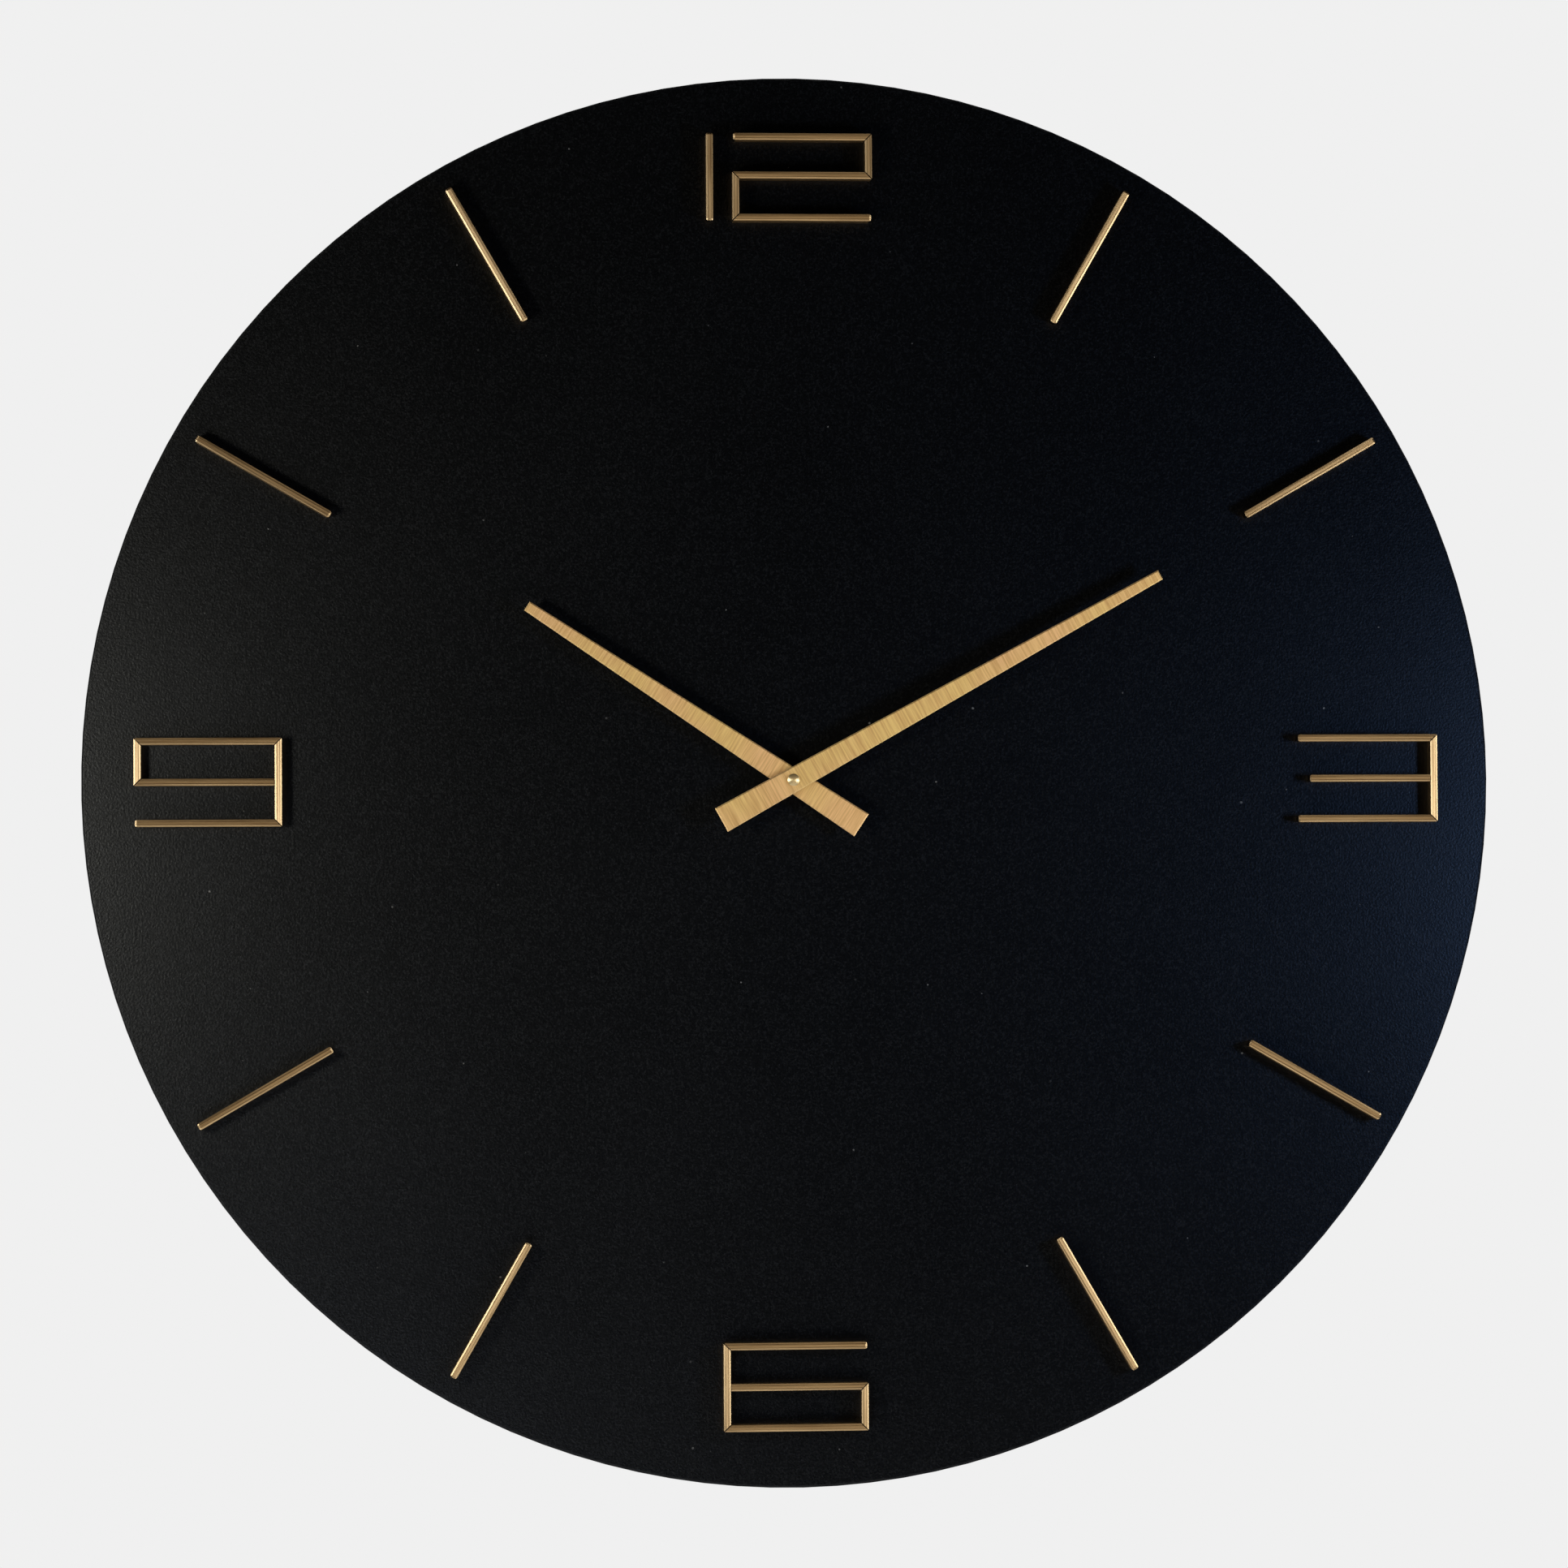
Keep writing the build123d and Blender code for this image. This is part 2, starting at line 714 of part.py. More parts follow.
# Centre wheel: slips on the minute shaft when the hands are set
with BuildPart() as centre_wheel:
    centre_phase = mesh_phase(
        third_axis, third_pinion_teeth, 0, hand_axis, centre_wheel_teeth
    )
    add_gear(hand_axis, centre_wheel_teeth, third_module, centre_phase, centre_wheel_depth)
    clear_bore(hand_axis, minute_shaft_radius + running_gap, centre_wheel_depth)
save(centre_wheel, "centre_wheel")

# Third wheel
with BuildPart() as third_wheel:
    third_phase = mesh_phase(
        hand_axis, second_pinion_teeth, 0, third_axis, third_wheel_teeth
    )
    add_arbor(third_axis)
    add_gear(third_axis, third_wheel_teeth, second_module, third_phase, third_wheel_depth)
    add_gear(
        third_axis,
        third_pinion_teeth,
        third_module,
        0,
        (third_pinion_front, third_wheel_depth[0]),
    )
save(third_wheel, "third_wheel")

# Second wheel: turns once a minute behind the minute shaft, and carries no hand
with BuildPart() as second_wheel:
    second_phase = mesh_phase(
        fifth_axis, fifth_pinion_teeth, 0, hand_axis, second_wheel_teeth
    )
    add_arbor(hand_axis, minute_shaft_depth - pivot_depth + assembly_gap)
    add_gear(hand_axis, second_wheel_teeth, fifth_module, second_phase, second_wheel_depth)
    add_gear(
        hand_axis,
        second_pinion_teeth,
        second_module,
        0,
        (second_pinion_front, second_wheel_depth[0]),
    )
save(second_wheel, "second_wheel")

# Fifth wheel: first reduction after the motor
with BuildPart() as fifth_wheel:
    fifth_phase = mesh_phase(rotor_axis, rotor_teeth, 0, fifth_axis, fifth_wheel_teeth)
    add_arbor(fifth_axis)
    add_gear(fifth_axis, fifth_wheel_teeth, rotor_module, fifth_phase, fifth_wheel_depth)
    add_gear(
        fifth_axis,
        fifth_pinion_teeth,
        fifth_module,
        0,
        (fifth_pinion_front, fifth_wheel_depth[0]),
    )
save(fifth_wheel, "fifth_wheel")

# Rotor: a pinion on its arbor and the ring magnet pressed on it
with BuildPart() as rotor_pinion:
    add_arbor(rotor_axis)
    add_gear(rotor_axis, rotor_teeth, rotor_module, 0, rotor_pinion_depth)
save(rotor_pinion, "rotor_pinion")

with BuildPart() as rotor_magnet:
    add_disc(rotor_axis, magnet_radius, magnet_depth)
    clear_bore(rotor_axis, pivot_radius + seat_gap, magnet_depth)
save(rotor_magnet, "rotor_magnet")

# Stator: one soft iron plate, a ring round the rotor and a limb through the coil
with BuildPart() as stator:
    with BuildSketch(at_depth(stator_depth[1])) as plate:
        yoke = (core_top, (rotor_axis[0], core_top[1]), (rotor_axis[0], core_bottom[1]), core_bottom)
        for limb_start, limb_end in zip(yoke, yoke[1:] + yoke[:1]):
            with BuildLine():
                Line(limb_start, limb_end)
            trace(line_width=stator_limb)
        with Locations(*yoke):
            Circle(stator_limb / 2)
        with Locations(rotor_axis):
            Circle(magnet_radius + stator_air_gap + stator_rim)
            Circle(magnet_radius + stator_air_gap, mode=Mode.SUBTRACT)
    extrude(plate.sketch, amount=stator_depth[1] - stator_depth[0])
save(stator, "stator")

# Coil: a moulded bobbin round the stator's limb, and its winding
coil_distance = room_front - (stator_depth[0] + stator_depth[1]) / 2
core_thickness = stator_depth[1] - stator_depth[0]
bobbin_radius = stator_limb / 2 + assembly_gap + bobbin_wall
with BuildPart() as coil_bobbin:
    with BuildSketch(Plane.XY.offset(coil_bottom)) as tube:
        with Locations((coil_line, -coil_distance)):
            Circle(bobbin_radius)
    extrude(tube.sketch, amount=coil_length)
    for flange_bottom in (coil_bottom, coil_bottom + coil_length - bobbin_flange):
        with BuildSketch(Plane.XY.offset(flange_bottom)) as flange:
            with Locations((coil_line, -coil_distance)):
                Circle(coil_radius)
        extrude(flange.sketch, amount=bobbin_flange)
    with BuildSketch(Plane.XY.offset(coil_bottom)) as core_slot:
        with Locations((coil_line, -coil_distance)):
            Rectangle(stator_limb + 2 * assembly_gap, core_thickness + 2 * assembly_gap)
    extrude(core_slot.sketch, amount=coil_length, mode=Mode.SUBTRACT)
save(coil_bobbin, "coil_bobbin")

with BuildPart() as coil_winding:
    with BuildSketch(Plane.XY.offset(coil_bottom + bobbin_flange)):
        with Locations((coil_line, -coil_distance)):
            Circle(coil_radius - assembly_gap)
            Circle(bobbin_radius + seat_gap, mode=Mode.SUBTRACT)
    extrude(amount=coil_length - 2 * bobbin_flange)
save(coil_winding, "coil_winding")

# Circuit board with the potted chip, and the quartz crystal's can
with BuildPart() as circuit_board:
    with BuildSketch(at_depth(board_depth[1])):
        with Locations(board_middle):
            Rectangle(*board_size)
    extrude(amount=board_depth[1] - board_depth[0])
    chip_place = (board_middle[0] - board_size[0] / 4, board_middle[1] - board_size[1] / 6)
    add_disc(chip_place, chip_radius, (board_depth[0] - chip_height, board_depth[0]))
save(circuit_board, "circuit_board")

crystal_distance = room_front - board_depth[0] + crystal_radius + seat_gap
with BuildPart() as quartz_crystal:
    with BuildSketch(Plane.YZ.offset(board_middle[0])):
        with Locations((-crystal_distance, board_middle[1] + board_size[1] / 4)):
            Circle(crystal_radius)
    extrude(amount=crystal_length)
    fillet(quartz_crystal.edges().group_by(Axis.X)[-1], crystal_radius / 2)
save(quartz_crystal, "quartz_crystal")

# Battery: one AA cell lying in its bay, positive end to the right
battery_distance = (case_back + room_front) / 2
battery_left = -battery_length / 2
with BuildPart() as battery:
    with BuildSketch(Plane.YZ.offset(battery_left)):
        with Locations((-battery_distance, battery_line)):
            Circle(battery_radius)
    extrude(amount=battery_length - nub_length)
    chamfer(battery.edges(), battery_edge_bevel)
    with BuildSketch(Plane.YZ.offset(-battery_left - nub_length)) as nub:
        with Locations((-battery_distance, battery_line)):
            Circle(nub_radius)
    extrude(nub.sketch, amount=nub_length)
save(battery, "battery")


lead_line = partition_top + assembly_gap + contact_width / 2
lead_start = battery_length / 2 + running_gap + contact_thickness
side_column = lead_start - contact_thickness - contact_width / 2
board_reach = board_middle[1] - board_size[1] / 2 + contact_width


def make_contact(name, sign, lead):
    """A sprung contact at one end of the bay, with a flat lead that runs to the board."""
    blade_line = lead_start - contact_thickness / 2
    blade_bottom = assembly_gap - room_half
    blade_top = lead_line + contact_width / 2
    lead_back = room_front - board_depth[1] - contact_thickness
    with BuildPart() as contact:
        with BuildSketch(in_front(lead_back)) as blade:
            with Locations((sign * blade_line, (blade_bottom + blade_top) / 2)):
                Rectangle(contact_thickness, blade_top - blade_bottom)
        extrude(blade.sketch, amount=battery_radius)
        with BuildSketch(in_front(lead_back)) as strip:
            with BuildLine():
                Polyline(*lead)
            trace(line_width=contact_width)
        extrude(strip.sketch, amount=contact_thickness)
    save(contact, name)


make_contact(
    "contact_positive",
    1,
    ((lead_start, lead_line), (side_column, lead_line), (side_column, board_reach)),
)
make_contact(
    "contact_negative",
    -1,
    ((-lead_start, lead_line), (lead_column, lead_line), (lead_column, board_reach)),
)

# Setting knob: a fluted knob behind the cover, with a pinion that turns the minute wheel
with BuildPart() as setting_knob:
    setting_phase = mesh_phase(
        minute_wheel_axis, minute_wheel_teeth, minute_wheel_phase, setting_axis, setting_teeth
    )
    knob_front = cover_inner + cover_thickness + spin_gap
    with BuildSketch(at_depth(knob_front + knob_thickness)) as grip:
        with Locations(setting_axis):
            Circle(knob_radius)
            with PolarLocations(knob_radius, knob_flutes):
                Circle(knob_flute_radius, mode=Mode.SUBTRACT)
    extrude(grip.sketch, amount=knob_thickness)
    add_disc(setting_axis, knob_shaft_radius, (cannon_depth[1], knob_front))
    add_gear(setting_axis, setting_teeth, cannon_module, setting_phase, cannon_depth)
    add_disc(setting_axis, pivot_radius, (-pivot_depth + assembly_gap, cannon_depth[0]))
save(setting_knob, "setting_knob")


def add_hand(back, bearing, reach, tail):
    """Adds a straight tapered hand, its front edges still sharp."""
    turn = radians(bearing)
    face = Plane(origin=(0, -back, 0), x_dir=(sin(turn), 0, cos(turn)), z_dir=(0, -1, 0))
    with BuildSketch(face) as outline:
        with BuildLine():
            Polyline(
                (-tail, hand_tail_width / 2),
                (-tail, -hand_tail_width / 2),
                (reach, -hand_tip_width / 2),
                (reach, hand_tip_width / 2),
                close=True,
            )
        make_face()
    extrude(outline.sketch, amount=hand_thickness)


# Hour hand: pressed on the hour tube by the collet behind it
with BuildPart() as hour_hand:
    add_hand(hour_hand_back, hour_hand_angle, hour_hand_reach, hour_hand_tail)
    front = hour_hand.faces().sort_by(Axis.Y)[0]
    chamfer(front.edges(), hand_bevel_width, hand_bevel_drop, reference=front)
    with BuildSketch(in_front(hour_hand_back - hour_collet_length)) as collet:
        Circle(hour_collet_radius)
    extrude(collet.sketch, amount=hour_collet_length)
    clear_bore(
        hand_axis,
        hour_tube_radius + seat_gap,
        (room_front - hour_tube_front, room_front - hour_hand_back + hour_collet_length),
    )
save(hour_hand, "hour_hand")

# Minute hand: sits on the shaft's two flats
with BuildPart() as minute_hand:
    add_hand(minute_hand_back, minute_hand_angle, minute_hand_reach, minute_hand_tail)
    front = minute_hand.faces().sort_by(Axis.Y)[0]
    chamfer(front.edges(), hand_bevel_width, hand_bevel_drop, reference=front)
    with BuildSketch(in_front(minute_hand_back)) as hand_hole:
        Circle(minute_seat_radius + seat_gap)
        Rectangle(
            2 * minute_seat_radius + 2 * seat_gap,
            minute_seat_flats + 2 * seat_gap,
            mode=Mode.INTERSECT,
        )
    extrude(hand_hole.sketch, amount=hand_thickness, mode=Mode.SUBTRACT)
save(minute_hand, "minute_hand")

# Hand nut: a low domed brass nut on the shaft's threaded end
with BuildPart() as hand_nut:
    rim = -minute_hand_front - hand_nut_skirt
    crown = (rim - hand_nut_crown, 0)
    with BuildSketch(Plane.YZ):
        with BuildLine():
            Polyline(
                crown,
                (-minute_hand_front, 0),
                (-minute_hand_front, hand_nut_radius),
                (rim, hand_nut_radius),
            )
            TangentArc(crown, (rim, hand_nut_radius), tangent=(0, 1))
        make_face()
    revolve(axis=Axis.Y)
    with BuildSketch(in_front(minute_hand_front)) as thread_hole:
        Circle(minute_thread_radius + seat_gap)
    extrude(
        thread_hole.sketch, amount=minute_thread_length + assembly_gap, mode=Mode.SUBTRACT
    )
save(hand_nut, "hand_nut")
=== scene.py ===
import json
from math import radians

import bpy
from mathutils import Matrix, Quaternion, Vector


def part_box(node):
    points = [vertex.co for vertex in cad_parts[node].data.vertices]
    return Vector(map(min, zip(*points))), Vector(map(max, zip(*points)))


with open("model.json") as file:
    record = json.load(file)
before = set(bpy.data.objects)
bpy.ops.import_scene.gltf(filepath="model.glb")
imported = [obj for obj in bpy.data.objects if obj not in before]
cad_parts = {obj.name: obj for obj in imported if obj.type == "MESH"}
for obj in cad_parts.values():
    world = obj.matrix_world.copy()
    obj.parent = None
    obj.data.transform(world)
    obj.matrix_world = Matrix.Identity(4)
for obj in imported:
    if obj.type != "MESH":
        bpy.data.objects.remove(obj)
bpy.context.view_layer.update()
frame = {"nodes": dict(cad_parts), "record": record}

# The looks of a round wall clock: black lacquered panel, brass strips, brushed gold hands,
# and the plain plastic, metal and board behind it. Lengths and places are in metres,
# noise scales in cells per metre and lamp powers in watts.

nodes = frame["nodes"]
slot_of = {row["node"]: row["material_slot"] for row in frame["record"]["subparts"]}
panel_low_corner, panel_high_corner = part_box("dial_panel")
panel_face = panel_low_corner.y
panel_radius = panel_high_corner.x
panel_middle = Vector((0, panel_face, 0))
depth_axis = Vector((0, 1, 0))

# Camera, fitted to the markers and the rim in the photograph
photo_side_in_pixels = 1932
focal_length_in_pixels = 6614
sensor_width_in_millimetres = 36.0
camera_place = Vector((-0.222, panel_face - 2.6537, -0.074))
camera_target = Vector((-0.0037, panel_face, -0.0017))
camera_roll = radians(-0.34)

# Soft boxes: three for the panel, four for everything else
panel_left_place = Vector((-0.575, panel_face - 0.45, -0.02))
panel_left_power = 1.35
panel_right_place = Vector((0.655, panel_face - 0.45, -0.05))
panel_right_power = 1.38
panel_box_size = (0.1, 0.16)
panel_low_place = Vector((-0.52, panel_face - 0.6, -0.61))
panel_low_power = 1.35
panel_low_size = (0.7, 0.3)
brass_left_place = Vector((-1.1, panel_face - 0.9, 0.0))
brass_left_power = 10.0
brass_right_place = Vector((1.065, panel_face - 0.9, -0.12))
brass_right_power = 8.6
brass_box_size = (0.5, 0.7)
brass_front_place = Vector((0.55, panel_face - 2.4, -0.3))
brass_front_power = 6.6
brass_front_size = (2.0, 2.0)
brass_fill_place = Vector((0.0, panel_face - 2.0, 0.0))
brass_fill_power = 11.7
brass_fill_size = (5.0, 5.0)
warm_white = (1.0, 0.99, 0.9)
day_white = (0.92, 0.97, 1.0)
lamp_yellow = (1.0, 0.86, 0.66)
cool_white = (0.27, 0.47, 0.94)
pale_blue = (0.77, 0.85, 1.0)

# Studio: a pale ground behind and a dim room in front. An edge is where one gives way to the other,
# by how far back a direction points.
ground_level = 0.871
room_level = 0.004
room_edge = (0.4, 0.85)
ambient_level = 0.12
ambient_edge = (-0.35, 0.25)
white = (1, 1, 1, 1)
floor_drop = 1.1
floor_radius = 1.5
floor_sides = 96

# Colours
lacquer_black = (0.0002, 0.0002, 0.0002, 1)
lacquer_grain = (0.005, 0.005, 0.005, 1)
lacquer_speck = (0.2, 0.19, 0.17, 1)
brass_light = (0.90, 0.64, 0.345, 1)
brass_dark = (0.31, 0.195, 0.093, 1)
# Painted shade: a thin dark line where each bevel meets the top of a strip, for the shade of the rounded
# edge
brass_painted_edge_shade = (0.13, 0.075, 0.03, 1)
# Partly a burnished edge, partly a painted highlight: the bevels of the strips are coloured lighter for
# the lamp highlights they catch
brass_burnish_and_highlight = (0.96, 0.71, 0.41, 1)
# Painted shade: the side and end faces of the strips are coloured darker, for the shade and the dark
# reflections they get
brass_side_painted_shade = (0.30, 0.19, 0.085, 1)
gold_light = (0.93, 0.61, 0.31, 1)
gold_yellow = (0.90, 0.66, 0.27, 1)
gold_dark = (0.66, 0.41, 0.17, 1)
nut_light = (0.96, 0.78, 0.45, 1)
nut_dark = (0.70, 0.52, 0.27, 1)
knob_red = (0.5, 0.05, 0.04, 1)
knob_dark = (0.38, 0.035, 0.03, 1)
copper_light = (0.75, 0.33, 0.16, 1)
copper_dark = (0.55, 0.2, 0.08, 1)
board_green = (0.04, 0.2, 0.08, 1)
board_dark = (0.025, 0.13, 0.05, 1)
sleeve_blue = (0.05, 0.13, 0.30, 1)
sleeve_silver = (0.62, 0.60, 0.56, 1)
sleeve_scuff = (0.20, 0.24, 0.32, 1)
bare_steel = (0.66, 0.65, 0.62, 1)

# Noise: the range that most of it lies in, and the detail and roughness of its finer kinds
noise_range = (0.3, 0.7)
fine_detail = 3.0
fine_roughness = 0.6

# Lacquer of the panel: a pair is the lowest and the highest value
lacquer_grain_scale = 1050.0
lacquer_grain_range = (0.5, 0.7)
lacquer_dull_range = (0.45, 0.7)
lacquer_dullness = (0.0, 0.1)
lacquer_cloud_scale = 9.0
lacquer_roughness = (0.36, 0.385)
lacquer_bump_scale = 900.0
lacquer_bump_detail = 1.0
lacquer_bump_height = 0.00012
sanding_rings_per_metre = 900.0
sanding_arcs_per_radian = 9.0
sanding_dullness = (-0.006, 0.006)
speck_scale = 22.0
speck_reach = (0.005, 0.013)
speck_share = 0.4
rim_round = 0.0012
rim_blend = rim_round / 4
rim_dullness = 0.45

# Brass of the strips: the painted shade line and the bevels are placed from a strip's middle, the side
# faces with painted shade from its front
strip_line_spacing = 0.0005
strip_line_length = 0.04
strip_line_height = 0.00006
strip_line_share = 0.5
strip_band_spacing = 0.0013
strip_band_length = 0.06
strip_band_range = (0.35, 0.65)
strip_roughness = (0.37, 0.53)
strip_highlight_spread = 0.9
# Place, width and least strength of the painted shade line along the bevels
edge_shade_place = 0.00072
edge_shade_width = 0.0003
edge_shade_least = 0.4
bevel_place = 0.00095
bevel_drop = 0.00035
bevel_blend = 0.00015
# How much lighter the bevels are coloured: burnish and painted highlight
bevel_burnish_and_highlight = 0.6
bevel_polish = 0.04
side_polish = 0.1

# Gold of the hands
hand_line_spacing = 0.0009
hand_line_length = 0.02
hand_line_height = 0.00005
hand_line_range = (0.33, 0.6)
hand_line_share = 0.8
hand_deep_spacing = 0.0022
hand_deep_length = 0.03
hand_deep_range = (0.4, 0.6)
hand_cloud_scale = 22.0
hand_cloud_range = (0.4, 0.6)
hand_roughness = (0.46, 0.54)
hand_highlight_spread = 0.3

# Brass of the nut
nut_ring_scale = 4000.0
nut_roughness = (0.36, 0.44)
nut_highlight_spread = 0.6

# Plain surfaces: patches of tone are larger than the grain by patch_ratio
plain_grain_height = 0.00003
plain_roughness_change = 0.06
plain_tone_range = (0.35, 0.65)
patch_ratio = 12

# Battery: the blue and the silver part of its sleeve shine differently
battery_bare_end = 0.0022
battery_band_share = 0.3
sleeve_wear_scale = 700.0
sleeve_wear_range = (0.55, 0.75)
sleeve_wear_most = 0.35
sleeve_roughness = (0.26, 0.36)
sleeve_metal = (0.2, 0.7)


def start(name):
    """A new node material with its tree and its main shader."""
    material = bpy.data.materials.new(name)
    material.use_nodes = True
    tree = material.node_tree
    return material, tree, tree.nodes["Principled BSDF"]


def add(tree, kind, inputs, **settings):
    """One node of that kind, with its settings made and its inputs set or linked."""
    node = tree.nodes.new("ShaderNode" + kind)
    for key, value in settings.items():
        setattr(node, key, value)
    for socket, value in inputs.items():
        feed(tree, node, socket, value)
    return node


def feed(tree, node, socket, value):
    """Links a socket to another node's output, or sets its own value."""
    if isinstance(value, bpy.types.NodeSocket):
        tree.links.new(value, node.inputs[socket])
    else:
        node.inputs[socket].default_value = value


def place(tree):
    """Where a point lies on its own piece, in the frame at rest."""
    return add(tree, "TexCoord", {}).outputs["Object"]


def compute(tree, operation, first, *others):
    """The first value, changed by each of the others in turn."""
    for value in others:
        first = add(tree, "Math", {0: first, 1: value}, operation=operation).outputs[0]
    return first


def distance(tree, first, second):
    """How far apart two values are."""
    gap = compute(tree, "SUBTRACT", first, second)
    return add(tree, "Math", {0: gap}, operation="ABSOLUTE").outputs[0]


def length(tree, vector):
    """How long a vector is."""
    return add(tree, "VectorMath", {0: vector}, operation="LENGTH").outputs["Value"]


def along_axis(tree, axis):
    """How far along an axis a point lies."""
    inputs = {0: place(tree), 1: axis}
    return add(tree, "VectorMath", inputs, operation="DOT_PRODUCT").outputs["Value"]


def span(tree, value, low, high, new_low, new_high):
    """A value moved from one range to another, held at its ends."""
    inputs = {0: value, 1: low, 2: high, 3: new_low, 4: new_high}
    return add(tree, "MapRange", inputs, clamp=True).outputs[0]


def blend(tree, factor, first, second):
    """A colour between two others."""
    node = add(tree, "Mix", {0: factor, 6: first, 7: second}, data_type="RGBA")
    return node.outputs[2]


def noise(tree, vector, scale, detail=2.0, roughness=0.5):
    """Soft random spots of that scale."""
    inputs = {"Vector": vector, "Scale": scale, "Detail": detail, "Roughness": roughness}
    return add(tree, "TexNoise", inputs).outputs[0]


def bump(tree, shader, pattern, height, strength=0.5):
    """Fine relief on the surface: a pattern raised by the height given."""
    inputs = {"Height": pattern, "Distance": height, "Strength": strength}
    feed(tree, shader, "Normal", add(tree, "Bump", inputs).outputs[0])


def spread_along(tree, shader, direction, amount):
    """Highlights drawn out in one direction, as fine lines across it would draw them."""
    settings = {"vector_type": "VECTOR", "convert_from": "OBJECT", "convert_to": "WORLD"}
    turned = add(tree, "VectorTransform", {0: direction}, **settings)
    feed(tree, shader, "Tangent", turned.outputs[0])
    shader.inputs["Anisotropic"].default_value = amount


def square_to(direction):
    """The direction across another one, in the plane of the panel."""
    return Vector((-direction.z, 0, direction.x))


def streaks(tree, direction, line_spacing, line_length):
    """Fine lines that run in one direction, as noise that is stretched that way."""
    inputs = {
        0: compute(tree, "DIVIDE", along_axis(tree, direction), line_length),
        1: compute(tree, "DIVIDE", along_axis(tree, square_to(direction)), line_spacing),
        2: compute(tree, "DIVIDE", along_axis(tree, depth_axis), line_spacing),
    }
    stretched = add(tree, "CombineXYZ", inputs).outputs[0]
    return noise(tree, stretched, 1.0, fine_detail, fine_roughness)


def sanding_marks(tree, split, radius):
    """Faint arcs round the middle of the panel."""
    turn = compute(tree, "ARCTAN2", split[0], compute(tree, "MULTIPLY", split[2], -1.0))
    inputs = {
        0: compute(tree, "MULTIPLY", radius, sanding_rings_per_metre),
        1: compute(tree, "MULTIPLY", turn, sanding_arcs_per_radian),
    }
    return noise(tree, add(tree, "CombineXYZ", inputs).outputs[0], 1.0)


def pale_specks(tree, flat, depth):
    """Specks scattered over the front of the panel, each of its own size and strength."""
    inputs = {"Vector": flat, "Scale": speck_scale}
    cells = add(tree, "TexVoronoi", inputs, voronoi_dimensions="2D").outputs
    draw = add(tree, "SeparateColor", {0: cells["Color"]}).outputs
    reach = span(tree, draw[0], 0.0, 1.0, *speck_reach)
    near = compute(tree, "LESS_THAN", cells["Distance"], reach)
    chosen = compute(tree, "GREATER_THAN", draw[1], 1 - speck_share)
    in_front = compute(tree, "LESS_THAN", depth, panel_face + rim_round)
    return compute(tree, "MULTIPLY", near, chosen, draw[2], in_front)


def dial_lacquer():
    """Satin black: a fine grain, faint sanding marks, a few pale specks and a dull rim."""
    material, tree, shader = start("dial_lacquer")
    point = place(tree)
    split = add(tree, "SeparateXYZ", {0: point}).outputs
    flat = add(tree, "CombineXYZ", {0: split[0], 1: split[2]}).outputs[0]
    radius = length(tree, flat)
    grain = noise(tree, point, lacquer_grain_scale, roughness=fine_roughness)
    grey_grain = span(tree, grain, *lacquer_grain_range, 0.0, 1.0)
    colour = blend(tree, grey_grain, lacquer_black, lacquer_grain)
    colour = blend(tree, pale_specks(tree, flat, split[1]), colour, lacquer_speck)
    feed(tree, shader, "Base Color", colour)
    cloud = noise(tree, point, lacquer_cloud_scale, fine_detail)
    sanding = span(tree, sanding_marks(tree, split, radius), *noise_range, *sanding_dullness)
    dull_grain = span(tree, grain, *lacquer_dull_range, *lacquer_dullness)
    rim_start = panel_radius - rim_round
    rim = span(tree, radius, rim_start, rim_start + rim_blend, 0.0, rim_dullness)
    dull = span(tree, cloud, *noise_range, *lacquer_roughness)
    feed(tree, shader, "Roughness", compute(tree, "ADD", dull, sanding, dull_grain, rim))
    pattern = noise(tree, point, lacquer_bump_scale, lacquer_bump_detail)
    bump(tree, shader, pattern, lacquer_bump_height, strength=1.0)
    return material


def strip_brass(name, direction, middle, front):
    """Drawn brass: lines along the strip, a painted shade line where its bevels meet the top, bevels
    lighter as burnish and painted highlight, and side faces darkened as painted shade.
    """
    material, tree, shader = start(name)
    across = square_to(direction)
    lines = streaks(tree, direction, strip_line_spacing, strip_line_length)
    bands = streaks(tree, direction, strip_band_spacing, strip_band_length)
    fine_tone = span(tree, lines, *noise_range, 0.0, strip_line_share)
    broad_tone = span(tree, bands, *strip_band_range, 0.0, 1 - strip_line_share)
    tone = compute(tree, "ADD", fine_tone, broad_tone)
    off_middle = distance(tree, along_axis(tree, across), across.dot(middle))
    off_edge_shade = distance(tree, off_middle, edge_shade_place)
    # Painted shade line where a bevel meets the top, weaker in places along the strip
    edge_shade = span(tree, off_edge_shade, 0.0, edge_shade_width, 1.0, 0.0)
    edge_shade = compute(tree, "MULTIPLY", edge_shade, span(tree, bands, *noise_range, 1.0, edge_shade_least))
    bevel = span(tree, off_middle, bevel_place, bevel_place + bevel_blend, 0.0, 1.0)
    behind_front = compute(tree, "SUBTRACT", along_axis(tree, depth_axis), front)
    side = span(tree, behind_front, bevel_drop, bevel_drop + bevel_blend, 0.0, 1.0)
    colour = blend(tree, tone, brass_dark, brass_light)
    # Painted highlight, partly burnish: the bevels take a lighter brass
    burnish_and_highlight = compute(tree, "MULTIPLY", bevel, tone, bevel_burnish_and_highlight)
    colour = blend(tree, burnish_and_highlight, colour, brass_burnish_and_highlight)
    colour = blend(tree, edge_shade, colour, brass_painted_edge_shade)
    # Painted shade: the side and end faces take the darker colour
    feed(tree, shader, "Base Color", blend(tree, side, colour, brass_side_painted_shade))
    shader.inputs["Metallic"].default_value = 1.0
    dull = span(tree, bands, *noise_range, *strip_roughness)
    on_bevel = compute(tree, "MULTIPLY", bevel, bevel_polish)
    on_side = compute(tree, "MULTIPLY", side, side_polish)
    feed(tree, shader, "Roughness", compute(tree, "SUBTRACT", dull, on_bevel, on_side))
    spread_along(tree, shader, across, strip_highlight_spread)
    bump(tree, shader, lines, strip_line_height)
    return material


